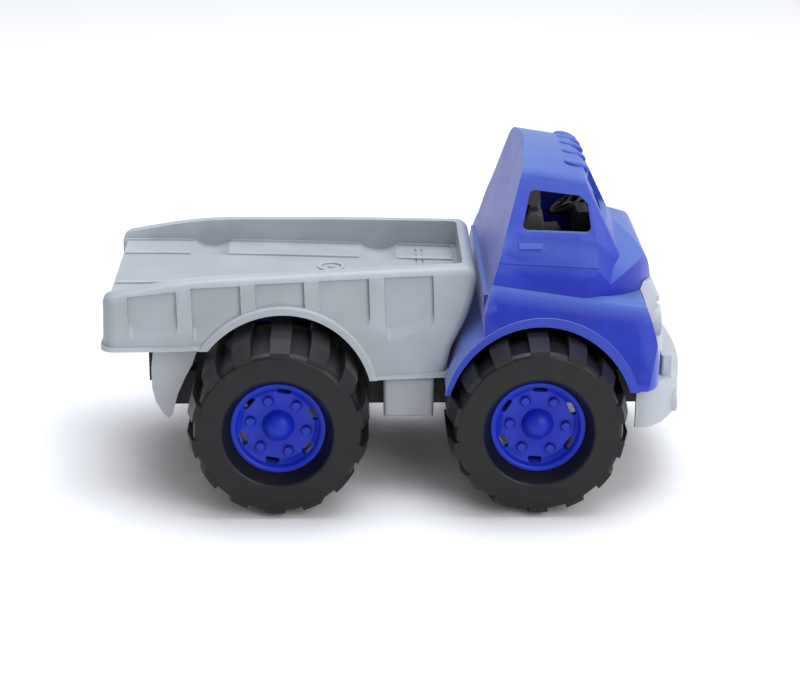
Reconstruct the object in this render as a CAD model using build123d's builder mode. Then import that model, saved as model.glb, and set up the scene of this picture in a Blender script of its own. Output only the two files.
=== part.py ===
import os

from build123d import *

os.makedirs("parts", exist_ok=True)

# Toy truck. X points forward, Z up, Y to the truck's left. The origin is on the
# ground, midway between the tail of the bed and the front of the bumper.

# Running gear
REAR_X = -55.0
FRONT_X = 64.0
AXLE_Z = 42.0
AXLE_R = 3.0
AXLE_HALF = 74.0
AXLE_BORE_R = 3.06
TYRE_R = 42.0
TYRE_W = 45.0
TYRE_FACE_Y = 87.0
TREAD_BASE_R = 38.4
LUGS = 14
HUB_R = 22.04
SEAT_R = 22.0
BOLT_CIRCLE_R = 13.0
SLOT_CIRCLE_R = 18.2
HUB_BORE_R = 2.96

# Chassis
FRAME_W = 36.0
FRAME_TOP = 54.0
FRAME_BOTTOM = 37.5
PIVOT_X = -107.0
PIVOT_Z = 62.0
PIVOT_R = 2.5

# Bed
BED_TAIL_X = -137.0
BED_FLOOR_Z = 94.0
BED_WALL = 3.0
BED_RIM = 6.6
BED_REF_Z = 110.0
BED_SPREAD = 0.194
BED_FACE_X = -135.8
BED_ROUND = 4.0
LIP_WIDTH = 3.7
LIP_HEIGHT = 2.0
PANEL_DEPTH = 1.8
BED_PLAN = (
    (-170.0, 54.6),
    (-130.0, 54.0),
    (-97.0, 53.0),
    (-60.0, 50.4),
    (-20.0, 46.4),
    (20.0, 42.2),
    (60.0, 38.0),
)
BED_TOP = (
    (BED_FACE_X, 97.2),
    (-132.0, 97.9),
    (-112.0, 101.6),
    (-95.0, 103.9),
    (-65.0, 105.1),
    (-23.0, 106.1),
    (30.5, 106.7),
)
REAR_ARCH_R = 43.0
REAR_ARCH_DX = 0.6
REAR_ARCH_DZ = 3.5

# Cab
CAB_WALL = 2.6
FRONT_ARCH_R = 43.6
FRONT_ARCH_X = 65.1
FRONT_ARCH_Z = 42.8
CAB_FLOOR_Z = 87.5


# ---------------------------------------------------------------- running gear

with BuildPart() as lug:
    with BuildSketch(Plane.XY) as lug_profile:
        with BuildLine() as lug_line:
            Polyline(
                (TREAD_BASE_R - 3.0, 0.4),
                (39.2, 0.0),
                (41.6, 10.5),
                (TYRE_R, 12.5),
                (TYRE_R, TYRE_W - 2.0),
                (TYRE_R - 2.0, TYRE_W),
                (TREAD_BASE_R - 3.0, TYRE_W - 1.0),
                close=True,
            )
        make_face()
    revolve(axis=Axis.Y, revolution_arc=180.0 / LUGS)

with BuildPart() as tyre_shape:
    with BuildSketch(Plane.XY) as tyre_profile:
        with BuildLine() as tyre_line:
            Polyline(
                (SEAT_R, 8.0),
                (25.4, 0.6),
                (26.2, 0.0),
                (36.4, 0.0),
                (37.6, 0.8),
                (TREAD_BASE_R, 3.0),
                (TREAD_BASE_R, TYRE_W - 1.5),
                (TREAD_BASE_R - 1.5, TYRE_W),
                (34.5, TYRE_W),
                (34.5, 6.5),
                (33.0, 5.0),
                (28.5, 5.0),
                (26.0, 11.0),
                (25.0, 20.0),
                (SEAT_R, 20.0),
                close=True,
            )
        make_face()
    revolve(axis=Axis.Y)
    for i in range(LUGS):
        add(lug.part, rotation=(0, i * 360.0 / LUGS - 90.0 / LUGS, 0))

with BuildPart() as hub_shape:
    with BuildSketch(Plane.XY) as hub_profile:
        with BuildLine() as hub_line:
            Polyline(
                (0.0, 11.4),
                (16.6, 11.4),
                (18.6, 9.6),
                (19.6, 7.6),
                (20.4, 7.0),
                (21.6, 7.2),
                (HUB_R, 8.2),
                (HUB_R, 22.0),
                (19.4, 22.0),
                (19.4, 14.4),
                (6.5, 14.4),
                (6.0, 32.0),
                (0.0, 32.0),
                close=True,
            )
        make_face()
    revolve(axis=Axis.Y)
    # centre dome
    with BuildSketch(Plane.XY) as dome_profile:
        with BuildLine() as dome_line:
            Line((0.0, 12.0), (0.0, 5.4))
            ThreePointArc((0.0, 5.4), (4.9, 7.2), (7.6, 11.6))
            Line((7.6, 11.6), (7.6, 12.0))
            Line((7.6, 12.0), (0.0, 12.0))
        make_face()
    revolve(axis=Axis.Y)
    # round recess and stub of each wheel bolt
    with BuildSketch(Plane.XZ.offset(-11.4)) as recesses:
        with PolarLocations(BOLT_CIRCLE_R, 6):
            Circle(2.7)
    extrude(amount=-0.9, mode=Mode.SUBTRACT)
    with BuildSketch(Plane.XZ.offset(-12.6)) as bolts:
        with PolarLocations(BOLT_CIRCLE_R, 6):
            Circle(1.9)
    extrude(amount=3.1)
    # slots midway between the bolts
    with BuildSketch(Plane.XZ.offset(-8.0)) as slots:
        with PolarLocations(SLOT_CIRCLE_R - 1.0, 6, start_angle=30.0):
            SlotOverall(7.0, 2.6, rotation=90)
    extrude(amount=-8.0, mode=Mode.SUBTRACT)
    # blind bore for the axle
    with BuildSketch(Plane.XZ.offset(-33.0)) as bore:
        Circle(HUB_BORE_R)
    extrude(amount=20.0, mode=Mode.SUBTRACT)

WHEELS = (
    ("front_right", FRONT_X, -1, 90.6, -3.0),
    ("front_left", FRONT_X, 1, 90.6, -3.0),
    ("rear_right", REAR_X, -1, 87.6, -10.0),
    ("rear_left", REAR_X, 1, 87.6, -10.0),
)

for wheel_name, wheel_x, side, lug_angle, bolt_angle in WHEELS:
    turn = 0 if side < 0 else 180
    place = Location((wheel_x, side * TYRE_FACE_Y, AXLE_Z), (0, 0, turn))
    with BuildPart() as tyre:
        add(tyre_shape.part.moved(place * Location((0, 0, 0), (0, -lug_angle, 0))))
    tyre.part.label = "tyre_" + wheel_name
    export_step(tyre.part, "parts/tyre_" + wheel_name + ".step")
    with BuildPart() as hub:
        add(hub_shape.part.moved(place * Location((0, 0, 0), (0, -bolt_angle, 0))))
    hub.part.label = "hub_" + wheel_name
    export_step(hub.part, "parts/hub_" + wheel_name + ".step")

for axle_name, axle_x in (("front_axle", FRONT_X), ("rear_axle", REAR_X)):
    with BuildPart() as axle:
        with BuildSketch(Plane.XZ.offset(-AXLE_HALF)) as axle_section:
            with Locations((axle_x, AXLE_Z)):
                Circle(AXLE_R)
        extrude(amount=2 * AXLE_HALF)
        chamfer(axle.edges().filter_by(GeomType.CIRCLE), 0.5)
    axle.part.label = axle_name
    export_step(axle.part, "parts/" + axle_name + ".step")

# -------------------------------------------------------------------- chassis

with BuildPart() as chassis:
    with BuildSketch(Plane.XY.offset(FRAME_BOTTOM)) as tray_plan:
        with Locations((2.0, 0)):
            Rectangle(232.0, 2 * FRAME_W)
        fillet(tray_plan.vertices(), 4.0)
    extrude(amount=FRAME_TOP - FRAME_BOTTOM)
    with BuildSketch(Plane.XY.offset(FRAME_BOTTOM - 1.0)) as tray_pocket:
        with Locations((2.0, 0)):
            Rectangle(227.0, 2 * FRAME_W - 5.0)
    extrude(amount=FRAME_TOP - FRAME_BOTTOM - 1.6, mode=Mode.SUBTRACT)
    # cross ribs
    with BuildSketch(Plane.XY.offset(FRAME_BOTTOM + 1.0)) as ribs:
        with Locations((-84.0, 0), (-26.0, 0), (4.0, 0), (35.0, 0), (93.0, 0)):
            Rectangle(2.5, 2 * FRAME_W - 2.0)
    extrude(amount=FRAME_TOP - FRAME_BOTTOM - 2.0)
    # axle bearings on both side walls
    for bearing_x in (REAR_X, FRONT_X):
        for bearing_y in (-38.5, 29.5):
            with BuildSketch(Plane.XZ.offset(-bearing_y)) as bearing:
                with Locations((bearing_x, AXLE_Z)):
                    Circle(7.0)
            extrude(amount=-9.0)
    # tail plate behind the guards
    with BuildSketch(Plane.XY.offset(FRAME_BOTTOM + 12.0)) as tail:
        with Locations((-115.5, 0)):
            Rectangle(3.0, 72.0)
    extrude(amount=19.5)
    # notch that lets the bed ears swing
    with BuildSketch(Plane.XY.offset(57.5)) as tail_notch:
        with Locations((-115.5, 0)):
            Rectangle(4.0, 57.0)
    extrude(amount=15.0, mode=Mode.SUBTRACT)
    # ears that carry the bed pivot pin
    for ear_y in (-30.0, 26.0):
        with BuildSketch(Plane.XZ.offset(-ear_y)) as ear:
            with BuildLine() as ear_line:
                Line((PIVOT_X - 9.0, FRAME_TOP - 1.0), (PIVOT_X - 6.0, PIVOT_Z))
                ThreePointArc(
                    (PIVOT_X - 6.0, PIVOT_Z),
                    (PIVOT_X, PIVOT_Z + 6.0),
                    (PIVOT_X + 6.0, PIVOT_Z),
                )
                Line((PIVOT_X + 6.0, PIVOT_Z), (PIVOT_X + 12.0, FRAME_TOP - 1.0))
                Line((PIVOT_X + 12.0, FRAME_TOP - 1.0), (PIVOT_X - 9.0, FRAME_TOP - 1.0))
            make_face()
        extrude(amount=-4.0)
    # pads under the front of the bed
    with BuildSketch(Plane.XY.offset(FRAME_TOP - 0.5)) as pads:
        with Locations((13.0, -24.0), (13.0, 24.0)):
            RectangleRounded(14.0, 10.0, 2.0)
    extrude(amount=3.0)
    # posts under the cab floor
    with BuildSketch(Plane.XY.offset(FRAME_TOP - 0.5)) as posts:
        with Locations((50.0, -24.0), (50.0, 24.0), (100.0, -24.0), (100.0, 24.0)):
            Circle(4.5)
    extrude(amount=CAB_FLOOR_Z - FRAME_TOP + 0.5)
    # holes for the screws that go up into the posts
    with BuildSketch(Plane.XY.offset(FRAME_TOP - 4.0)) as screw_holes:
        with Locations((50.0, -24.0), (50.0, 24.0), (100.0, -24.0), (100.0, 24.0)):
            Circle(1.55)
    extrude(amount=15.0, mode=Mode.SUBTRACT)
    # bores for the two axles and the pivot pin
    with BuildSketch(Plane.XZ.offset(-50.0)) as axle_bores:
        with Locations((REAR_X, AXLE_Z), (FRONT_X, AXLE_Z)):
            Circle(AXLE_BORE_R)
    extrude(amount=100.0, mode=Mode.SUBTRACT)
    with BuildSketch(Plane.XZ.offset(-31.0)) as pin_bores:
        with Locations((PIVOT_X, PIVOT_Z)):
            Circle(PIVOT_R - 0.03)
    extrude(amount=62.0, mode=Mode.SUBTRACT)
chassis.part.label = "chassis"
export_step(chassis.part, "parts/chassis.step")

with BuildPart() as bed_pivot_pin:
    with BuildSketch(Plane.XZ.offset(-32.5)) as pin_section:
        with Locations((PIVOT_X, PIVOT_Z)):
            Circle(PIVOT_R)
    extrude(amount=65.0)
bed_pivot_pin.part.label = "bed_pivot_pin"
export_step(bed_pivot_pin.part, "parts/bed_pivot_pin.step")

# side boxes between the wheels
for tank_name, tank_side in (("side_tank_right", -1), ("side_tank_left", 1)):
    with BuildPart() as side_tank:
        with BuildSketch(Plane.XY.offset(35.8)) as tank_plan:
            with Locations((5.4, tank_side * 43.5)):
                Rectangle(23.4, 14.0)
        extrude(amount=20.0, taper=-1.0)
        outer_edges = side_tank.faces().sort_by(Axis.Y)[0 if tank_side < 0 else -1].edges()
        fillet(outer_edges, 2.0)
        with BuildSketch(Plane.XY.offset(55.9)) as tank_pocket:
            with Locations((5.4, tank_side * 43.2)):
                Rectangle(18.4, 9.2)
        extrude(amount=-16.0, mode=Mode.SUBTRACT)
    side_tank.part.label = tank_name
    export_step(side_tank.part, "parts/" + tank_name + ".step")

# mud guards behind the rear wheels
for guard_name, guard_side in (("rear_guard_right", -1), ("rear_guard_left", 1)):
    with BuildPart() as rear_guard:
        with BuildSketch(Plane.XZ.offset(-guard_side * 36.0)) as guard_side_view:
            with BuildLine() as guard_line:
                Polyline(
                    (-114.0, 67.5),
                    (-115.0, 60.0),
                    (-115.0, 50.0),
                    (-113.6, 43.0),
                    (-110.0, 36.5),
                    (-107.6, 34.4),
                    (-105.8, 36.5),
                    (-103.0, 46.5),
                    (-99.0, 55.5),
                    (-96.0, 61.0),
                    (-93.6, 67.5),
                    close=True,
                )
            make_face()
        extrude(amount=-guard_side * 10.5)
        with BuildSketch(Plane.XZ.offset(-guard_side * 35.0)) as guard_pocket:
            with BuildLine() as pocket_line:
                Polyline(
                    (-111.6, 69.0),
                    (-112.4, 60.0),
                    (-112.4, 50.5),
                    (-111.2, 44.0),
                    (-108.2, 38.6),
                    (-106.0, 42.0),
                    (-104.2, 50.0),
                    (-101.0, 57.0),
                    (-98.4, 62.0),
                    (-96.0, 69.0),
                    close=True,
                )
            make_face()
        extrude(amount=-guard_side * 9.2, mode=Mode.SUBTRACT)
    rear_guard.part.label = guard_name
    export_step(rear_guard.part, "parts/" + guard_name + ".step")

# ------------------------------------------------------------------------ bed


def bed_block(inset):
    """Drafted block of the bed walls, drawn in by inset on every side."""
    with BuildPart() as block:
        for z, grow in ((BED_REF_Z, 0.0), (BED_REF_Z - 70.0, 70.0 * BED_SPREAD)):
            with BuildSketch(Plane.XY.offset(z)) as plan:
                with BuildLine() as plan_line:
                    near = [(x, y + grow - inset) for x, y in BED_PLAN]
                    far = [(x, -y) for x, y in reversed(near)]
                    Spline(*near)
                    Line(near[-1], far[0])
                    Spline(*far)
                    Line(far[-1], near[0])
                make_face()
        loft(ruled=True)
    return block.part


def bed_profile(inset, bottom_drop):
    """Side view of the bed, drawn in by inset, its lower edge dropped."""
    with BuildPart() as prism:
        with BuildSketch(Plane.XZ.offset(-90.0)) as profile:
            with BuildLine() as profile_line:
                Spline(*[(x + (inset if x == BED_FACE_X else 0.0), z - inset) for x, z in BED_TOP])
                ThreePointArc(
                    (30.5, 106.7 - inset),
                    (35.4 - inset, 104.8 - inset),
                    (37.0 - inset, 100.0 - inset),
                )
                Spline(
                    (37.0 - inset, 100.0 - inset),
                    (35.8 - inset, 92.5),
                    (33.4 - inset, 85.0),
                    (29.8 - inset, 77.3),
                    (25.2 - inset, 68.2),
                    (22.0 - inset, 57.5),
                    (21.6 - inset, 56.8 - bottom_drop),
                )
                Line(
                    (21.6 - inset, 56.8 - bottom_drop),
                    (-40.0 + inset, 56.8 - bottom_drop),
                )
                Line((-40.0 + inset, 56.8 - bottom_drop), (-40.0 + inset, 73.0 - bottom_drop))
                Line((-40.0 + inset, 73.0 - bottom_drop), (BED_FACE_X + inset, 73.0 - bottom_drop))
                Line((BED_FACE_X + inset, 73.0 - bottom_drop), (BED_FACE_X + inset, BED_TOP[0][1] - inset))
            make_face()
        extrude(amount=180.0)
    return prism.part


def across(points, y_half):
    """Prism with the given side view, running across the truck."""
    with BuildPart() as prism:
        with BuildSketch(Plane.XZ.offset(-y_half)) as shape:
            with BuildLine() as shape_line:
                Polyline(*points, close=True)
            make_face()
        extrude(amount=2 * y_half)
    return prism.part


def disc_across(x, z, r, y_low, y_high):
    """Cylinder about a line along Y between two values of Y."""
    with BuildPart() as disc:
        with BuildSketch(Plane.XZ.offset(-y_low)) as shape:
            with Locations((x, z)):
                Circle(r)
        extrude(amount=-(y_high - y_low))
    return disc.part


def floor_plan(edge, z_low, height, x_front):
    """Block inside the bed walls whose sides stand in from the outside by edge."""
    with BuildPart() as block:
        with BuildSketch(Plane.XY.offset(z_low)) as plan:
            with BuildLine() as plan_line:
                near = [(x, y - edge) for x, y in BED_PLAN]
                near = near[:-1] + [(x_front, near[-2][1] - 0.105 * (x_front - near[-2][0]))]
                far = [(x, -y) for x, y in reversed(near)]
                Spline(*near)
                Line(near[-1], far[0])
                Spline(*far)
                Line(far[-1], near[0])
            make_face()
            fillet(plan.vertices().group_by(Axis.X)[-1], 3.0)
        extrude(amount=height)
    return block.part


ARCH_X = REAR_X + REAR_ARCH_DX
ARCH_Z = AXLE_Z + REAR_ARCH_DZ

bed_outer = bed_block(0.0) & bed_profile(0.0, 0.0)
tail_edges = bed_outer.edges().filter_by_position(Axis.X, BED_FACE_X - 0.1, BED_FACE_X + 0.1)
tail_edges = tail_edges.filter_by(lambda e: abs(e.tangent_at(0.5).Z) > 0.9)
bed_outer = fillet(tail_edges, 6.0)
# rounded front corners, carried on along the rim
front_edges = bed_outer.edges().filter_by_position(Axis.X, 28.0, 36.5)
front_edges = front_edges.filter_by(lambda e: abs(e.center().Y) > 35.0)
bed_outer = fillet(front_edges, BED_ROUND)

bed_under = bed_block(BED_WALL) & bed_profile(BED_WALL, 30.0)
bed_under = bed_under & across(
    [(-180.0, 20.0), (60.0, 20.0), (60.0, BED_FLOOR_Z - BED_WALL), (-180.0, BED_FLOOR_Z - BED_WALL)],
    90.0,
)
arch_opening = disc_across(ARCH_X, ARCH_Z, REAR_ARCH_R, -90.0, 90.0)
arch_lip = disc_across(ARCH_X, ARCH_Z, REAR_ARCH_R + LIP_WIDTH, -90.0, 90.0)

# raised lip round the arch
lip_side = across([(-140.0, 56.8), (30.0, 56.8), (30.0, 110.0), (-140.0, 110.0)], 90.0)
lip_side = lip_side - across([(-140.0, 50.0), (-75.0, 50.0), (-75.0, 73.0), (-140.0, 73.0)], 90.0)
lip_ring = (bed_block(-LIP_HEIGHT) - bed_block(1.0)) & (arch_lip - arch_opening) & lip_side


def on_lip_edge(edge):
    """True for the long outer edge of the arch lip."""
    middle = edge.position_at(0.5)
    reach = ((middle.X - ARCH_X) ** 2 + (middle.Z - ARCH_Z) ** 2) ** 0.5
    return edge.length > 40.0 and abs(reach - REAR_ARCH_R - LIP_WIDTH) < 0.1


lip_ring = fillet(lip_ring.edges().filter_by(on_lip_edge), 1.4)

# bead along the lower edges
bead_band = across([(-140.0, 73.0), (-70.0, 73.0), (-70.0, 75.0), (-140.0, 75.0)], 90.0)
bead_band = bead_band + across([(-30.0, 56.8), (40.0, 56.8), (40.0, 58.8), (-30.0, 58.8)], 90.0)
bead_band = bead_band - arch_opening
bead_shape = bed_block(-1.2) & bed_profile(-1.2, 0.0)
bead_corners = bead_shape.edges().filter_by_position(Axis.X, -137.1, -136.9)
bead_shape = fillet(bead_corners.filter_by(lambda e: abs(e.tangent_at(0.5).Z) > 0.9), 6.8)
bead_skin = bead_shape & bead_band

# recessed panels in each side, with sloping lower ledges
PANELS = (
    (-124.5, -102.0, 79.2, 96.9, 100.4, 59.5),
    (-95.2, -72.7, 78.8, 101.0, 101.9, 58.2),
    (-65.8, -43.5, 78.4, 102.2, 102.7, 56.0),
    (-36.4, -13.6, 77.6, 102.8, 103.2, 53.2),
    (-6.4, 16.2, 76.5, 103.3, 103.6, 50.3),
)


def panel_cut(x_low, x_high, z_low, z_top_low, z_top_high, y_wall):
    """Pair of side recesses; the lower ledge rises from the wall's face at y_wall."""
    lean = 0.085
    z_start = z_low - 1.9 * (70.0 - y_wall)
    x_foot = lean * (91.0 - z_low)
    x_head = lean * (91.0 - 125.0)
    with BuildPart() as ledge:
        with BuildSketch(Plane.XZ.offset(70.0)) as ledge_shape:
            with BuildLine() as ledge_line:
                Polyline(
                    (x_low + x_foot, z_start),
                    (x_high + x_foot, z_start),
                    (x_high + x_head, 125.0),
                    (x_low + x_head, 125.0),
                    close=True,
                )
            make_face()
            fillet(ledge_shape.vertices().group_by(Axis.Y)[0], 2.4)
        extrude(amount=66.0, dir=(0, 1, 1.9))
    near = ledge.part & across(
        [
            (x_low - 6.0, 60.0),
            (x_high + 6.0, 60.0),
            (x_high + 6.0, z_top_high),
            (x_low - 6.0, z_top_low),
        ],
        90.0,
    )
    return near + near.mirror(Plane.XZ)


panel_prisms = None
for panel_sizes in PANELS:
    panel = panel_cut(*panel_sizes)
    panel_prisms = panel if panel_prisms is None else panel_prisms + panel
panel_skin = (bed_block(-4.0) - bed_block(PANEL_DEPTH)) & (panel_prisms - arch_lip)

# floor with a step round the walls and a rib along each side
bed_space = floor_plan(BED_RIM, BED_FLOOR_Z + 0.8, 30.0, 30.8)
bed_space = bed_space + floor_plan(BED_RIM + 2.2, BED_FLOOR_Z, 5.0, 28.6)
side_rib = floor_plan(29.0, BED_FLOOR_Z - 0.5, 1.3, 34.0) - floor_plan(31.6, BED_FLOOR_Z - 2.0, 5.0, 36.0)
side_rib = side_rib & across([(-132.6, 90.0), (28.0, 90.0), (28.0, 97.0), (-132.6, 97.0)], 60.0)
DIPS = (-91.0, -8.0)
DIP_R = 16.4
DIP_Z = BED_FLOOR_Z + 13.8
dip_cut = disc_across(DIPS[0], DIP_Z, DIP_R, -60.0, 60.0) + disc_across(DIPS[1], DIP_Z, DIP_R, -60.0, 60.0)
dip_cut = (dip_cut & floor_plan(BED_RIM, 80.0, 30.0, 30.8)) - floor_plan(32.0, 80.0, 30.0, 36.0)
dip_shell = disc_across(DIPS[0], DIP_Z, DIP_R + 2.4, -60.0, 60.0)
dip_shell = dip_shell + disc_across(DIPS[1], DIP_Z, DIP_R + 2.4, -60.0, 60.0)
dip_shell = (dip_shell & floor_plan(BED_RIM - 1.5, 80.0, 12.5, 30.0)) - floor_plan(34.4, 70.0, 30.0, 36.0)

with BuildPart() as bed:
    add(bed_outer)
    add(lip_ring)
    add(bead_skin)
    add(panel_skin, mode=Mode.SUBTRACT)
    add(bed_under, mode=Mode.SUBTRACT)
    add(dip_shell)
    add(bed_space, mode=Mode.SUBTRACT)
    add(side_rib)
    add(dip_cut, mode=Mode.SUBTRACT)
    add(arch_opening, mode=Mode.SUBTRACT)
    # the floor stops short of the tails of the walls
    with BuildSketch(Plane.XY.offset(70.0)) as tail_gap:
        with Locations((-140.0, 0)):
            Rectangle(13.0, 91.0)
    extrude(amount=40.0, mode=Mode.SUBTRACT)
    # grooves across the floor
    with BuildSketch(Plane.XY.offset(BED_FLOOR_Z)) as grooves:
        with Locations((10.4, 0), (13.4, 0)):
            Rectangle(0.9, 57.0)
    extrude(amount=-0.6, mode=Mode.SUBTRACT)
    # moulding gate: a ring with a nib in its centre
    with BuildSketch(Plane.XY.offset(BED_FLOOR_Z - 0.2)) as gate_ring:
        with Locations((-31.0, 0)):
            Circle(6.4)
            Circle(5.0, mode=Mode.SUBTRACT)
            Circle(1.4)
    extrude(amount=0.9)
    # ribs under the floor and the cross rib that rests on the chassis pads
    with BuildSketch(Plane.XY.offset(BED_FLOOR_Z - BED_WALL + 0.5)) as floor_ribs:
        with Locations((-118.0, 0), (-88.0, 0), (-22.0, 0)):
            Rectangle(2.0, 70.0)
    extrude(amount=-6.0)
    with BuildSketch(Plane.XY.offset(BED_FLOOR_Z - BED_WALL + 0.5)) as rest_rib:
        with Locations((13.0, 0)):
            Rectangle(2.5, 62.0)
    extrude(amount=-(BED_FLOOR_Z - BED_WALL + 0.5 - 56.8))
    # ears that swing on the pivot pin
    for ear_y in (-25.7, 21.7):
        with BuildSketch(Plane.XZ.offset(-ear_y)) as bed_ear:
            with BuildLine() as bed_ear_line:
                Line((PIVOT_X - 5.5, PIVOT_Z), (PIVOT_X - 9.0, BED_FLOOR_Z - 2.0))
                Line((PIVOT_X - 9.0, BED_FLOOR_Z - 2.0), (PIVOT_X + 12.0, BED_FLOOR_Z - 2.0))
                Line((PIVOT_X + 12.0, BED_FLOOR_Z - 2.0), (PIVOT_X + 5.5, PIVOT_Z))
                ThreePointArc(
                    (PIVOT_X + 5.5, PIVOT_Z),
                    (PIVOT_X, PIVOT_Z - 5.5),
                    (PIVOT_X - 5.5, PIVOT_Z),
                )
            make_face()
        extrude(amount=-4.0)
    with BuildSketch(Plane.XZ.offset(-30.0)) as ear_bores:
        with Locations((PIVOT_X, PIVOT_Z)):
            Circle(PIVOT_R + 0.06)
    extrude(amount=60.0, mode=Mode.SUBTRACT)
bed.part.label = "bed"
export_step(bed.part, "parts/bed.step")

# ------------------------------------------------------------------------ cab


def drawn_in(points, inset):
    """Open run of points moved to its right-hand side by inset."""
    moved = []
    for i, (u, v) in enumerate(points):
        before = points[max(i - 1, 0)]
        after = points[min(i + 1, len(points) - 1)]
        du = after[0] - before[0]
        dv = after[1] - before[1]
        length = (du * du + dv * dv) ** 0.5
        moved.append((u + inset * dv / length, v - inset * du / length))
    return moved


ROOF_ARCH = (
    (-40.4, 148.2),
    (-37.6, 151.7),
    (-33.5, 154.3),
    (-28.0, 156.2),
    (-20.0, 157.6),
    (-10.0, 158.5),
    (0.0, 158.8),
    (10.0, 158.5),
    (20.0, 157.6),
    (28.0, 156.2),
    (33.5, 154.3),
    (37.6, 151.7),
    (40.4, 148.2),
)
SHOULDER = (
    (40.4, 148.2),
    (42.4, 143.9),
    (47.4, 131.4),
    (49.4, 126.4),
    (51.6, 122.4),
    (54.8, 118.0),
    (57.0, 113.0),
    (58.6, 106.0),
    (59.6, 99.0),
    (61.5, 40.0),
)
FENDER_CREST = (
    (40.0, 104.9),
    (56.0, 104.6),
    (60.2, 103.2),
    (63.2, 99.6),
    (65.4, 93.4),
    (68.0, 84.0),
    (74.6, 56.0),
    (74.9, 20.0),
)
NOSE_CROWN = (
    (-57.0, 94.0),
    (-53.4, 102.0),
    (-47.4, 108.8),
    (-39.0, 114.2),
    (-29.6, 118.0),
    (-20.0, 120.6),
    (-10.0, 122.4),
    (0.0, 123.0),
    (10.0, 122.4),
    (20.0, 120.6),
    (29.6, 118.0),
    (39.0, 114.2),
    (47.4, 108.8),
    (53.4, 102.0),
    (57.0, 94.0),
)


def slanted(crest, arch, x_ref, slope, inset):
    """Front view outline carried along X while it falls by slope."""
    with BuildPart() as run:
        plane = Plane(origin=(x_ref - 60.0, 0, 60.0 * slope), x_dir=(0, 1, 0), z_dir=(1, 0, 0))
        side_run = drawn_in(crest, inset)
        mirrored = [(-y, z) for y, z in side_run]
        with BuildSketch(plane) as section:
            with BuildLine() as section_line:
                if arch:
                    top_run = drawn_in(arch, inset)
                    top_run[0] = mirrored[0]
                    top_run[-1] = side_run[0]
                    Spline(*top_run)
                else:
                    Line(mirrored[0], side_run[0])
                Line(side_run[0], side_run[1])
                Line(side_run[1], side_run[2])
                Spline(*side_run[2:-1])
                Line(side_run[-2], side_run[-1])
                Line(side_run[-1], mirrored[-1])
                Line(mirrored[-1], mirrored[-2])
                Spline(*reversed(mirrored[2:-1]))
                Line(mirrored[2], mirrored[1])
                Line(mirrored[1], mirrored[0])
            make_face()
        extrude(amount=150.0, dir=(1, 0, -slope))
    return run.part


def plan_block(x_back, x_front, half_width, corner, inset):
    """Block with the given plan and rounded front corners."""
    with BuildPart() as block:
        with BuildSketch(Plane.XY.offset(20.0)) as plan:
            with Locations(((x_back + x_front) / 2, 0)):
                Rectangle(x_front - x_back - 2 * inset, 2 * half_width - 2 * inset)
            fillet(plan.vertices().group_by(Axis.X)[-1], corner - inset)
        extrude(amount=160.0)
    return block.part


ROOF_LINE = (
    (58.9, 157.6),
    (64.0, 159.4),
    (72.0, 158.4),
    (79.0, 156.6),
    (84.5, 154.0),
    (88.5, 150.9),
    (91.4, 147.2),
    (94.4, 141.6),
    (98.0, 133.4),
    (101.3, 124.4),
)
HOOD_LINE = (
    (90.0, 126.5),
    (98.0, 123.2),
    (103.0, 120.8),
    (108.0, 118.0),
    (113.2, 114.0),
    (116.6, 109.6),
    (119.0, 103.6),
    (120.6, 96.0),
    (121.6, 88.0),
    (122.0, 80.0),
)
FENDER_FRONT = (
    (100.0, 106.0),
    (108.0, 102.0),
    (113.2, 95.6),
    (116.4, 87.6),
    (118.8, 79.0),
    (120.2, 70.0),
    (120.8, 60.0),
)


def side_view(low, back, lines, inset):
    """Prism of a side view: upright back, then runs of spline, then a low edge."""
    with BuildPart() as prism:
        with BuildSketch(Plane.XZ.offset(-90.0)) as shape:
            with BuildLine() as outline:
                start = (back[0][0] + inset, low)
                last = start
                for x, z in back[1:]:
                    Line(last, (x + inset, z))
                    last = (x + inset, z)
                for run_points in lines:
                    run = drawn_in(run_points, inset)
                    if last != run[0]:
                        Line(last, run[0])
                    Spline(*run)
                    last = run[-1]
                Line(last, (last[0], low))
                Line((last[0], low), start)
            make_face()
        extrude(amount=180.0)
    return prism.part


def windshield_sweep(inset):
    """Block with a gently bowed front that leans back as the windshield does."""
    with BuildPart() as block:
        with BuildSketch(Plane.XY.offset(172.0)) as plan:
            with BuildLine() as plan_line:
                x_side = 74.6 - 1.12 * inset
                ThreePointArc((x_side, -40.0), (x_side + 3.7, 0.0), (x_side, 40.0))
                Line((x_side, 40.0), (x_side - 20.0, 66.0))
                Line((x_side - 20.0, 66.0), (-60.0, 66.0))
                Line((-60.0, 66.0), (-60.0, -66.0))
                Line((-60.0, -66.0), (x_side - 20.0, -66.0))
                Line((x_side - 20.0, -66.0), (x_side, -40.0))
            make_face()
            fillet(plan.vertices().filter_by_position(Axis.X, x_side - 1.0, x_side + 1.0), 9.0)
        extrude(amount=170.0, dir=(0.483, 0, -1.0))
    return block.part


def nose_crown(inset):
    """Rounded section of the nose, carried forward as it falls."""
    slope = 0.3
    with BuildPart() as run:
        plane = Plane(origin=(40.0, 0, 57.0 * slope), x_dir=(0, 1, 0), z_dir=(1, 0, 0))
        crown = drawn_in([(-y, z) for y, z in NOSE_CROWN][::-1], inset)
        with BuildSketch(plane) as section:
            with BuildLine() as section_line:
                Spline(*crown)
                Line(crown[-1], (62.0 - inset, 0.0))
                Line((62.0 - inset, 0.0), (-62.0 + inset, 0.0))
                Line((-62.0 + inset, 0.0), crown[0])
            make_face()
        extrude(amount=150.0, dir=(1, 0, -slope))
    return run.part


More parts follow.
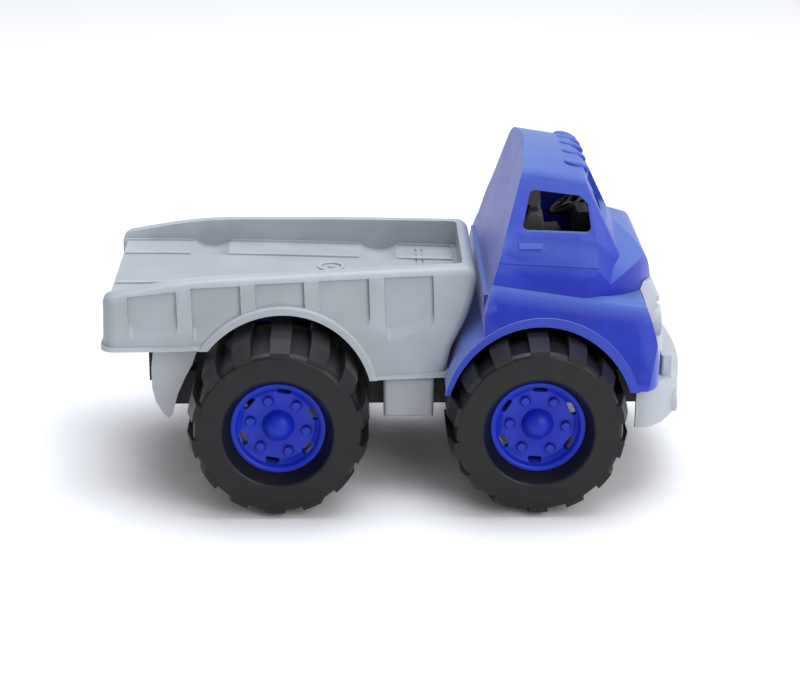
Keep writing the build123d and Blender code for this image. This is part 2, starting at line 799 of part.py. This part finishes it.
def cab_block(inset):
    """Cab body drawn in by inset, open towards the ground."""
    low = 20.0 if inset > 0 else 56.2
    windshield_foot = ((101.3, 124.4), (112.0, 102.2))
    upper = side_view(low + 8.0, ((39.5, 0), (39.5, 91.0)), (ROOF_LINE, windshield_foot), inset)
    upper = upper & slanted(SHOULDER, ROOF_ARCH, 60.0, 0.16, inset)
    upper = upper & windshield_sweep(inset)
    nose = side_view(low + 8.0, ((60.0, 0), (60.0, 126.0)), (HOOD_LINE,), inset) & nose_crown(inset)
    upper = upper + nose
    upper = upper & plan_block(20.0, 122.0, 61.5, 52.0, inset)
    fender = side_view(low, ((22.0, 0), (22.0, 62.0), (39.5, 106.0)), (FENDER_FRONT,), inset)
    fender = fender & slanted(FENDER_CREST, None, 46.0, 0.155, inset)
    fender = fender & plan_block(10.0, 121.0, 75.2, 16.0, inset)
    return upper + fender


WING_X = FRONT_ARCH_X + 1.0
WING_Z = FRONT_ARCH_Z + 0.8
WING_R = 46.6

cab_outer = cab_block(0.0)
cab_inner = cab_block(CAB_WALL)
# the wing behind the wheel follows the arch
rear_corner = across([(10.0, 10.0), (39.5, 10.0), (39.5, 91.0), (45.0, 110.0), (10.0, 110.0)], 90.0)
rear_corner_room = across([(10.0, 10.0), (42.1, 10.0), (42.1, 91.0), (47.6, 110.0), (10.0, 110.0)], 90.0)
wing = disc_across(WING_X, WING_Z, WING_R, -90.0, 90.0)
inner_wing = disc_across(WING_X, WING_Z, WING_R - CAB_WALL, -90.0, 90.0)
cab_outer = cab_outer - (rear_corner - wing)
cab_inner = cab_inner - (rear_corner_room - inner_wing)
# room for the front of the bed
bed_room = bed_profile(-2.4, 6.0) & across([(0, 20.0), (60.0, 20.0), (60.0, 120.0), (0, 120.0)], 57.0)

arch_ring = wing & across([(0, 56.2), (130.0, 56.2), (130.0, 110.0), (0, 110.0)], 90.0)
flare_skin = slanted(FENDER_CREST, None, 46.0, 0.155, -1.3) - slanted(FENDER_CREST, None, 46.0, 0.155, 0.6)
arch_band = (flare_skin & arch_ring) & plan_block(10.0, 121.0, 80.0, 16.0, 0.0)
body_skin = slanted(SHOULDER, ROOF_ARCH, 60.0, 0.16, 0.0) - slanted(SHOULDER, ROOF_ARCH, 60.0, 0.16, 0.5)
belt_groove = body_skin & across([(30.0, 114.2), (112.0, 108.6), (112.0, 109.3), (30.0, 114.9)], 90.0)
handle_skin = slanted(SHOULDER, ROOF_ARCH, 60.0, 0.16, -0.9) - slanted(SHOULDER, ROOF_ARCH, 60.0, 0.16, 0.5)
handles = handle_skin & across([(55.5, 119.8), (66.5, 119.4), (66.5, 121.3), (55.5, 121.7)], 90.0)

with BuildPart() as side_windows:
    with BuildSketch(Plane.XZ.offset(-90.0)) as window_shape:
        with BuildLine() as window_line:
            Polyline((57.0, 126.6), (89.4, 124.9), (87.6, 137.6), (83.8, 141.3), (61.0, 144.4), close=True)
        make_face()
        fillet(window_shape.vertices(), 2.4)
    extrude(amount=180.0)

with BuildPart() as windshield:
    with BuildSketch(Plane.YZ.offset(78.0)) as shield_shape:
        with BuildLine() as shield_line:
            Polyline((2.0, 126.6), (38.5, 126.6), (33.0, 146.8), (2.0, 146.8), close=True)
        make_face()
        fillet(shield_shape.vertices(), 2.5)
        mirror(about=Plane.YZ)
    extrude(amount=60.0)

with BuildPart() as cab_shell:
    add(cab_outer)
    add(arch_band)
    add(handles)
    # five marker lamps across the front of the roof
    for lamp_y, lamp_drop in ((-27.0, 2.2), (-13.5, 0.6), (0.0, 0.0), (13.5, 0.6), (27.0, 2.2)):
        lamp = scale(Sphere(1.0, mode=Mode.PRIVATE), by=(6.3, 3.3, 2.8), mode=Mode.PRIVATE)
        add(lamp.moved(Location((83.2, lamp_y, 153.4 - lamp_drop), (0, 21.0, 0))))
    add(belt_groove, mode=Mode.SUBTRACT)
    add(cab_inner, mode=Mode.SUBTRACT)
    add(bed_room, mode=Mode.SUBTRACT)
    # bulkhead under the back wall
    with BuildSketch(Plane.XY.offset(56.2)) as bulkhead:
        with Locations((40.8, 0)):
            Rectangle(2.6, 112.0)
    extrude(amount=42.0)
    add(side_windows.part, mode=Mode.SUBTRACT)
    add(windshield.part, mode=Mode.SUBTRACT)
    # wheel arches
    for arch_low in (-90.0, 39.6):
        arch = disc_across(FRONT_ARCH_X, FRONT_ARCH_Z, FRONT_ARCH_R, arch_low, arch_low + 50.4)
        add(arch, mode=Mode.SUBTRACT)
cab_shell.part.label = "cab_shell"
export_step(cab_shell.part, "parts/cab_shell.step")

cab_cavity = cab_block(CAB_WALL + 0.15)

with BuildPart() as cab_floor:
    add(cab_cavity & across([(42.5, 87.5), (116.0, 87.5), (116.0, 90.0), (42.5, 90.0)], 90.0))
    # tunnel between the seats
    with BuildSketch(Plane.XY.offset(89.5)) as tunnel:
        with Locations((76.0, 0)):
            RectangleRounded(30.0, 7.0, 2.0)
    extrude(amount=6.0)
cab_floor.part.label = "cab_floor"
export_step(cab_floor.part, "parts/cab_floor.step")

for seat_name, seat_side in (("seat_right", -1), ("seat_left", 1)):
    with BuildPart() as seat:
        with BuildSketch(Plane.XZ.offset(-(seat_side * 21.0 - 15.0))) as seat_view:
            with BuildLine() as seat_line:
                Polyline(
                    (56.0, 90.0),
                    (81.5, 90.0),
                    (83.0, 103.5),
                    (81.0, 106.5),
                    (71.0, 106.0),
                    (69.6, 120.0),
                    (67.6, 130.6),
                    (65.4, 132.4),
                    (61.0, 132.0),
                    (58.4, 128.0),
                    (55.6, 108.0),
                    close=True,
                )
            make_face()
        extrude(amount=-30.0)
        seat_edges = seat.edges().filter_by(GeomType.LINE).filter_by(Axis.Y, reverse=True)
        fillet(seat_edges.filter_by_position(Axis.Z, 92.0, 140.0), 1.6)
        with BuildSketch(Plane.XZ.offset(-(seat_side * 21.0 - 8.5))) as headrest_view:
            with BuildLine() as headrest_line:
                Polyline(
                    (62.0, 131.0),
                    (65.6, 131.0),
                    (65.6, 133.4),
                    (67.2, 133.8),
                    (66.6, 139.8),
                    (64.4, 141.2),
                    (62.2, 140.4),
                    (60.4, 133.6),
                    (62.0, 133.4),
                    close=True,
                )
            make_face()
        extrude(amount=-17.0)
    seat.part.label = seat_name
    export_step(seat.part, "parts/" + seat_name + ".step")

with BuildPart() as dashboard:
    add(
        cab_cavity
        & across(
            [(91.0, 90.0), (91.0, 104.0), (88.5, 110.0), (92.5, 115.0), (103.0, 117.0), (103.0, 90.0)],
            50.0,
        )
    )
    # instrument pod on the middle of the dash
    with BuildSketch(Plane.XZ.offset(8.0)) as pod_view:
        with BuildLine() as pod_line:
            Polyline(
                (92.0, 108.0),
                (85.6, 110.5),
                (84.8, 118.0),
                (87.0, 123.6),
                (92.0, 124.0),
                (97.5, 116.0),
                (97.5, 108.0),
                close=True,
            )
        make_face()
        fillet(pod_view.vertices(), 1.0)
    extrude(amount=-16.0)
dashboard.part.label = "dashboard"
export_step(dashboard.part, "parts/dashboard.step")

WHEEL_PLANE = Plane(origin=(84.4, 21.0, 119.6), x_dir=(0, 1, 0), z_dir=(-0.5, 0, 0.866))
with BuildPart() as steering_wheel:
    with BuildSketch(Plane(origin=WHEEL_PLANE.origin, x_dir=(0, 1, 0), z_dir=(0.866, 0, 0.5))) as rim:
        with Locations((8.6, 0.0)):
            Circle(1.3)
    revolve(axis=Axis(WHEEL_PLANE.origin, WHEEL_PLANE.z_dir))
    with BuildSketch(WHEEL_PLANE.offset(-0.9)) as wheel_hub:
        Circle(2.4)
        for spoke_angle in (90.0, 210.0, 330.0):
            with Locations(Location((0, 0, 0), (0, 0, spoke_angle))):
                with Locations((4.2, 0)):
                    Rectangle(8.4, 1.6)
    extrude(amount=1.6)
    with BuildSketch(WHEEL_PLANE.offset(-9.6)) as column:
        Circle(1.7)
    extrude(amount=9.2)
steering_wheel.part.label = "steering_wheel"
steering_wheel_part = steering_wheel.part - dashboard.part
steering_wheel_part.label = "steering_wheel"
export_step(steering_wheel_part, "parts/steering_wheel.step")

# ----------------------------------------------------------------- front end

GRILLE_LINE = (
    (116.6, 100.0),
    (119.6, 96.0),
    (122.6, 87.0),
    (125.4, 76.0),
    (127.0, 66.0),
    (127.4, 58.0),
)
grille_block = side_view(57.2, ((100.0, 0), (100.0, 100.0)), (GRILLE_LINE,), 0.0)
grille_block = grille_block & plan_block(60.0, 127.6, 48.0, 25.0, 0.0)
with BuildPart() as grille_outline:
    with BuildSketch(Plane.YZ.offset(95.0)) as outline_shape:
        with BuildLine() as outline_line:
            Polyline(
                (-46.0, 57.2),
                (46.0, 57.2),
                (46.0, 86.0),
                (35.0, 97.6),
                (-35.0, 97.6),
                (-46.0, 86.0),
                close=True,
            )
        make_face()
        fillet(outline_shape.vertices().group_by(Axis.Y)[0], 3.0)
        fillet(outline_shape.vertices().group_by(Axis.Y)[-1], 3.0)
    extrude(amount=50.0)
grille_block = grille_block & grille_outline.part
with BuildPart() as grille:
    add(grille_block)
    # sunk field with bars
    with BuildSketch(Plane.YZ.offset(131.0)) as field:
        with Locations((0, 76.5)):
            RectangleRounded(50.0, 27.0, 4.0)
    extrude(amount=-7.4, mode=Mode.SUBTRACT)
    with BuildSketch(Plane.YZ.offset(123.0)) as bars:
        with Locations((0, 67.5), (0, 73.5), (0, 79.5), (0, 85.5)):
            Rectangle(49.0, 2.6)
    extrude(amount=2.2)
    # headlamps
    for lamp_y in (-36.0, 36.0):
        with BuildSketch(Plane.YZ.offset(114.2)) as lamp_body:
            with Locations((lamp_y, 79.0)):
                Circle(7.6)
        extrude(amount=9.8)
        with BuildSketch(Plane.YZ.offset(121.6)) as lamp_well:
            with Locations((lamp_y, 79.0)):
                Circle(6.2)
        extrude(amount=4.0, mode=Mode.SUBTRACT)
        lens = scale(Sphere(1.0, mode=Mode.PRIVATE), by=(2.4, 5.6, 5.6), mode=Mode.PRIVATE)
        add(lens.moved(Location((121.2, lamp_y, 79.0))))
    add(cab_block(-0.3), mode=Mode.SUBTRACT)
grille.part.label = "grille"
export_step(grille.part, "parts/grille.step")

BUMPER_LOW = 35.0
BUMPER_TOP = 56.0
BUMPER_PLAN = (
    (110.6, -64.6),
    (116.0, -64.2),
    (121.4, -60.8),
    (126.0, -55.0),
    (130.2, -47.0),
    (134.0, -35.0),
    (136.2, -19.0),
    (137.0, 0.0),
    (136.2, 19.0),
    (134.0, 35.0),
    (130.2, 47.0),
    (126.0, 55.0),
    (121.4, 60.8),
    (116.0, 64.2),
    (110.6, 64.6),
)


def bumper_block(inset, low, top):
    """Bumper plan drawn in by inset, between two heights."""
    with BuildPart() as block:
        run = drawn_in(BUMPER_PLAN, -inset)
        with BuildSketch(Plane.XY.offset(low)) as plan:
            with BuildLine() as plan_line:
                Spline(*run)
                Line(run[-1], run[0])
            make_face()
        extrude(amount=top - low)
    return block.part


with BuildPart() as front_bumper:
    add(bumper_block(0.0, BUMPER_LOW, BUMPER_TOP))
    rim_edges = front_bumper.faces().sort_by(Axis.Z)[-1].edges().sort_by(Axis.X)[-1:]
    rim_edges = rim_edges + front_bumper.faces().sort_by(Axis.Z)[0].edges().sort_by(Axis.X)[-1:]
    fillet(rim_edges, 2.2)
    add(bumper_block(3.0, BUMPER_LOW - 1.0, BUMPER_TOP - 2.6), mode=Mode.SUBTRACT)
    add(bumper_block(9.5, BUMPER_LOW - 1.0, BUMPER_TOP + 1.0), mode=Mode.SUBTRACT)
    # lower lamp bosses
    with BuildSketch(Plane.YZ.offset(124.0)) as bosses:
        with Locations((-43.0, 41.0), (43.0, 41.0)):
            Circle(5.3)
    extrude(amount=8.4)
    # turn lamps standing on the bumper
    for turn_y in (-46.5, 46.5):
        with BuildSketch(Plane.XY.offset(BUMPER_TOP - 1.0)) as turn_lamp:
            with Locations((126.6, turn_y)):
                RectangleRounded(5.6, 7.6, 1.2)
        extrude(amount=11.0)
    # brackets back to the chassis
    with BuildSketch(Plane.XY.offset(42.0)) as brackets:
        with Locations((126.6, -22.0), (126.6, 22.0)):
            Rectangle(16.8, 8.0)
    extrude(amount=9.0)
front_bumper.part.label = "front_bumper"
export_step(front_bumper.part, "parts/front_bumper.step")

with BuildPart() as frame_screws:
    for screw_x, screw_y in ((50.0, -24.0), (50.0, 24.0), (100.0, -24.0), (100.0, 24.0)):
        with BuildSketch(Plane.XY.offset(49.4)) as screw_head:
            with Locations((screw_x, screw_y)):
                Circle(3.1)
        extrude(amount=1.9)
        with BuildSketch(Plane.XY.offset(49.4)) as screw_cross:
            with Locations((screw_x, screw_y)):
                Rectangle(3.6, 0.9)
                Rectangle(0.9, 3.6)
        extrude(amount=1.1, mode=Mode.SUBTRACT)
        with BuildSketch(Plane.XY.offset(51.2)) as screw_shank:
            with Locations((screw_x, screw_y)):
                Circle(1.4)
        extrude(amount=12.5)
frame_screws.part.label = "frame_screws"
export_step(frame_screws.part, "parts/frame_screws.step")
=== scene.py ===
import math

import bpy
from mathutils import Matrix, Vector

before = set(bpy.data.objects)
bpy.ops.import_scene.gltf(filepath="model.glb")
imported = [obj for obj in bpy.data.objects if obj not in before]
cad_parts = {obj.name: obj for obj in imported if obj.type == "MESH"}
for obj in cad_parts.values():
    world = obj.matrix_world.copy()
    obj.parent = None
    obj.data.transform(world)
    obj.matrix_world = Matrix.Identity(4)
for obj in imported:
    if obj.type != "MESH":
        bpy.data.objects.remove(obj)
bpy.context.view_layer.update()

MM = 0.001

# ------------------------------------------------------------------ colours


def linear(hex_colour):
    """sRGB hex to the linear colour that a shader takes."""
    out = []
    for i in (1, 3, 5):
        c = int(hex_colour[i : i + 2], 16) / 255
        out.append(c / 12.92 if c <= 0.04045 else ((c + 0.055) / 1.055) ** 2.4)
    return (*out, 1.0)


# ---------------------------------------------------------------- materials

POLYETHYLENE_IOR = 1.5
CLOUD_MM = 26  # width of the pale and dark drifts that the melt leaves
CLOUD_RANGE = {"From Min": 0.3, "From Max": 0.7}
EDGE_RANGE = {"From Min": 0.505, "From Max": 0.56}
EDGE_SHARE = 0.35
# painted sheen on upturned faces: how far up a face must turn, and how much of the paler tone
# it takes
TOP_SHEEN_RANGE = {"From Min": 0.3, "From Max": 1.0}
TOP_SHEEN_SHARE = 0.7
SHEEN_TINT = "#e4ebf4"


def node(tree, kind, settings=None, links=None):
    """Adds a node, sets its properties and sockets, and links its inputs."""
    made = tree.nodes.new(kind)
    for name, value in (settings or {}).items():
        if isinstance(name, str) and hasattr(made, name):
            setattr(made, name, value)
        else:
            made.inputs[name].default_value = value
    for name, source in (links or {}).items():
        tree.links.new(source, made.inputs[name])
    return made


def moulded_plastic(
    name,
    colour,
    drift_and_edge_highlight,
    roughness,
    grain_mm,
    grain_height_mm,
    edge_highlight=None,
    top_sheen=None,
    sheen=0.0,
    specular=0.5,
):
    """Injection moulded polyethylene: one colour right through, its skin textured by the mould.

    Gives the eye a soft even sheen, a faint cloudiness from the melt and paler
    edges, which are a painted highlight standing in for light caught by rounded
    edges. grain_mm is the spacing of the mould's spark texture, drawn several
    times coarser than the real one so that it shows. The edge tone is the colour
    of that painted highlight; the tone for upturned faces is a painted sheen
    where the overhead light falls on a dark plastic's top faces.
    """
    material = bpy.data.materials.new(name)
    material.use_nodes = True
    tree = material.node_tree
    tree.nodes.clear()
    place = node(tree, "ShaderNodeTexCoord")
    clouds = node(
        tree,
        "ShaderNodeTexNoise",
        {"Scale": 1 / (CLOUD_MM * MM), "Detail": 3.0, "Roughness": 0.55},
        {"Vector": place.outputs["Object"]},
    )
    grain = node(
        tree,
        "ShaderNodeTexNoise",
        {"Scale": 1 / (grain_mm * MM), "Detail": 2.0, "Roughness": 0.6},
        {"Vector": place.outputs["Object"]},
    )
    cloud_range = node(
        tree,
        "ShaderNodeMapRange",
        {**CLOUD_RANGE, "To Min": 0.0, "To Max": 1.0},
        {"Value": clouds.outputs["Fac"]},
    )
    base = node(
        tree,
        "ShaderNodeMix",
        {"data_type": "RGBA", 6: linear(colour), 7: linear(drift_and_edge_highlight)},
        {0: cloud_range.outputs["Result"]},
    )
    # paler edges: a painted highlight standing in for light caught by rounded edges, in the
    # edge tone or else the paler drift tone
    geometry = node(tree, "ShaderNodeNewGeometry")
    edge = node(
        tree,
        "ShaderNodeMapRange",
        {**EDGE_RANGE, "To Min": 0.0, "To Max": EDGE_SHARE},
        {"Value": geometry.outputs["Pointiness"]},
    )
    edged = node(
        tree,
        "ShaderNodeMix",
        {"data_type": "RGBA", 7: linear(edge_highlight or drift_and_edge_highlight)},
        {0: edge.outputs["Result"], 6: base.outputs[2]},
    )
    shade = edged.outputs[2]
    # upturned faces paler: a painted sheen standing in for the overhead light falling on top
    # surfaces
    if top_sheen:
        facing = node(tree, "ShaderNodeSeparateXYZ", None, {"Vector": place.outputs["Normal"]})
        top_sheen_mask = node(
            tree,
            "ShaderNodeMapRange",
            {**TOP_SHEEN_RANGE, "To Min": 0.0, "To Max": TOP_SHEEN_SHARE},
            {"Value": facing.outputs["Z"]},
        )
        top_sheened = node(
            tree,
            "ShaderNodeMix",
            {"data_type": "RGBA", 7: linear(top_sheen)},
            {0: top_sheen_mask.outputs["Result"], 6: shade},
        )
        shade = top_sheened.outputs[2]
    rough = node(
        tree,
        "ShaderNodeMapRange",
        {**CLOUD_RANGE, "To Min": roughness - 0.04, "To Max": roughness + 0.05},
        {"Value": clouds.outputs["Fac"]},
    )
    bump = node(
        tree,
        "ShaderNodeBump",
        {"Strength": 0.6, "Distance": grain_height_mm * MM},
        {"Height": grain.outputs["Fac"]},
    )
    shader = node(
        tree,
        "ShaderNodeBsdfPrincipled",
        {
            "IOR": POLYETHYLENE_IOR,
            "Specular IOR Level": specular,
            "Sheen Weight": sheen,
            "Sheen Roughness": 0.42,
            "Sheen Tint": linear(SHEEN_TINT),
        },
        {
            "Base Color": shade,
            "Roughness": rough.outputs["Result"],
            "Normal": bump.outputs["Normal"],
        },
    )
    node(tree, "ShaderNodeOutputMaterial", None, {"Surface": shader.outputs["BSDF"]})
    return material


bed_grey = moulded_plastic(
    "bed_grey_polyethylene",
    "#9aa1a7",
    "#a5acb3",
    roughness=0.42,
    grain_mm=1.1,
    grain_height_mm=0.05,
    edge_highlight="#c3c9d0",
)
trim_grey = moulded_plastic(
    "trim_grey_polyethylene",
    "#a3a8ae",
    "#aeb3b9",
    roughness=0.45,
    grain_mm=1.1,
    grain_height_mm=0.05,
    edge_highlight="#c6cbd1",
)
cab_blue = moulded_plastic(
    "cab_blue_polyethylene",
    "#0b229e",
    "#132ba8",
    roughness=0.46,
    grain_mm=1.2,
    grain_height_mm=0.1,
    edge_highlight="#4a62c4",
    top_sheen="#5878b0",
    sheen=0.3,
    specular=0.28,
)
hub_blue = moulded_plastic(
    "hub_blue_polyethylene",
    "#031ea6",
    "#0a26ae",
    roughness=0.42,
    grain_mm=1.0,
    grain_height_mm=0.05,
    edge_highlight="#2240b4",
    sheen=0.05,
    specular=0.3,
)
tyre_black = moulded_plastic(
    "tyre_black_polyethylene",
    "#0b0b0c",
    "#101011",
    roughness=0.42,
    grain_mm=1.2,
    grain_height_mm=0.06,
    edge_highlight="#1a1a1b",
    specular=0.32,
)
frame_black = moulded_plastic(
    "frame_black_polyethylene",
    "#0d0d0e",
    "#121213",
    roughness=0.45,
    grain_mm=1.2,
    grain_height_mm=0.05,
    specular=0.35,
)
seat_grey = moulded_plastic(
    "seat_charcoal_polyethylene",
    "#3a3a3b",
    "#424243",
    roughness=0.5,
    grain_mm=1.0,
    grain_height_mm=0.06,
)


LINE_MM = 0.6  # between drawing lines, coarser than the real ones so that they show
LINE_RUN_MM = 20


def drawn_steel(name):
    """Cold drawn steel rod: gives the eye a bright grey, with fine lines along the axles."""
    material = bpy.data.materials.new(name)
    material.use_nodes = True
    tree = material.node_tree
    tree.nodes.clear()
    place = node(tree, "ShaderNodeTexCoord")
    stretch = node(
        tree,
        "ShaderNodeMapping",
        {"Scale": (1 / (LINE_MM * MM), 1 / (LINE_RUN_MM * MM), 1 / (LINE_MM * MM))},
        {"Vector": place.outputs["Object"]},
    )
    lines = node(
        tree,
        "ShaderNodeTexNoise",
        {"Scale": 1.0, "Detail": 2.0},
        {"Vector": stretch.outputs["Vector"]},
    )
    rough = node(
        tree,
        "ShaderNodeMapRange",
        {"To Min": 0.22, "To Max": 0.42},
        {"Value": lines.outputs["Fac"]},
    )
    tint = node(
        tree,
        "ShaderNodeMix",
        {"data_type": "RGBA", 6: linear("#a9abae"), 7: linear("#c2c4c7")},
        {0: lines.outputs["Fac"]},
    )
    shader = node(
        tree,
        "ShaderNodeBsdfPrincipled",
        {"Metallic": 1.0},
        {"Base Color": tint.outputs[2], "Roughness": rough.outputs["Result"]},
    )
    node(tree, "ShaderNodeOutputMaterial", None, {"Surface": shader.outputs["BSDF"]})
    return material


rod_steel = drawn_steel("rod_steel")

FINISHES = (
    (bed_grey, ("bed",)),
    (
        trim_grey,
        (
            "front_bumper",
            "grille",
            "rear_guard_left",
            "rear_guard_right",
            "side_tank_left",
            "side_tank_right",
        ),
    ),
    (cab_blue, ("cab_shell",)),
    (hub_blue, ("hub_front_left", "hub_front_right", "hub_rear_left", "hub_rear_right")),
    (tyre_black, ("tyre_front_left", "tyre_front_right", "tyre_rear_left", "tyre_rear_right")),
    (frame_black, ("chassis", "cab_floor", "dashboard", "steering_wheel")),
    (seat_grey, ("seat_left", "seat_right")),
    (rod_steel, ("front_axle", "rear_axle", "bed_pivot_pin", "frame_screws")),
)

for finish, names in FINISHES:
    for name in names:
        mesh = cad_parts[name].data
        mesh.materials.clear()
        mesh.materials.append(finish)

# ------------------------------------------------------------ floor and light

FLOOR_REACH = 6.0

floor_mesh = bpy.data.meshes.new("floor")
floor_mesh.from_pydata(
    [
        (-FLOOR_REACH, -FLOOR_REACH, 0),
        (FLOOR_REACH, -FLOOR_REACH, 0),
        (FLOOR_REACH, FLOOR_REACH, 0),
        (-FLOOR_REACH, FLOOR_REACH, 0),
    ],
    [],
    [(0, 1, 2, 3)],
)
floor = bpy.data.objects.new("floor", floor_mesh)
bpy.context.scene.collection.objects.link(floor)
floor_white = bpy.data.materials.new("floor_white_paper")
floor_white.use_nodes = True
paper = floor_white.node_tree.nodes["Principled BSDF"]
paper.inputs["Base Color"].default_value = linear("#f8f9fb")
paper.inputs["Roughness"].default_value = 0.9
paper.inputs["Specular IOR Level"].default_value = 0.1
floor_mesh.materials.append(floor_white)

bpy.context.scene.view_settings.view_transform = "Standard"

world = bpy.data.worlds.new("studio")
bpy.context.scene.world = world
world.use_nodes = True
world.node_tree.nodes["Background"].inputs["Color"].default_value = (1.0, 1.0, 1.0, 1.0)
# the room gets lighter from the tail of the truck to its nose
sky = world.node_tree
sky_place = node(sky, "ShaderNodeTexCoord")
sky_side = node(sky, "ShaderNodeSeparateXYZ", None, {"Vector": sky_place.outputs["Generated"]})
sky_level = node(
    sky,
    "ShaderNodeMapRange",
    {"From Min": -1.0, "From Max": 0.6, "To Min": 0.3, "To Max": 0.7},
    {"Value": sky_side.outputs["X"]},
)
sky.links.new(sky_level.outputs["Result"], sky.nodes["Background"].inputs["Strength"])


def softbox(name, place, aim, size, power, tint="#ffffff"):
    """Large rectangular lamp at place, turned to aim."""
    lamp = bpy.data.lights.new(name, "AREA")
    lamp.shape = "RECTANGLE"
    lamp.size = size[0]
    lamp.size_y = size[1]
    lamp.energy = power
    lamp.color = linear(tint)[:3]
    holder = bpy.data.objects.new(name, lamp)
    bpy.context.scene.collection.objects.link(holder)
    holder.location = place
    holder.rotation_euler = (Vector(aim) - Vector(place)).to_track_quat("-Z", "Y").to_euler()


softbox("overhead", (0.15, 0.25, 1.5), (0.0, 0.0, 0.05), (1.5, 1.1), 22.5, "#f3f5ff")
softbox("right_bank", (0.8, -1.2, 0.8), (0.0, 0.0, 0.08), (0.9, 0.9), 9.5)

# --------------------------------------------------------------------- camera

PITCH = math.radians(19.562)
YAW = math.radians(-1.322)
ROLL = math.radians(0.202)
CAMERA_PLACE = (-0.0205, -0.9921, 0.4098)
LENS_MM = 96.75
SENSOR_MM = 36.0

camera_data = bpy.data.cameras.new("camera")
camera_data.sensor_width = SENSOR_MM
camera_data.lens = LENS_MM
camera_data.clip_end = 50.0
camera = bpy.data.objects.new("camera", camera_data)
bpy.context.scene.collection.objects.link(camera)
heading = Matrix.Rotation(YAW, 4, "Z")
tilt = Matrix.Rotation(math.pi / 2 - PITCH, 4, "X")
lean = Matrix.Rotation(ROLL, 4, "Z")
camera.matrix_world = Matrix.Translation(CAMERA_PLACE) @ heading @ tilt @ lean
bpy.context.scene.camera = camera
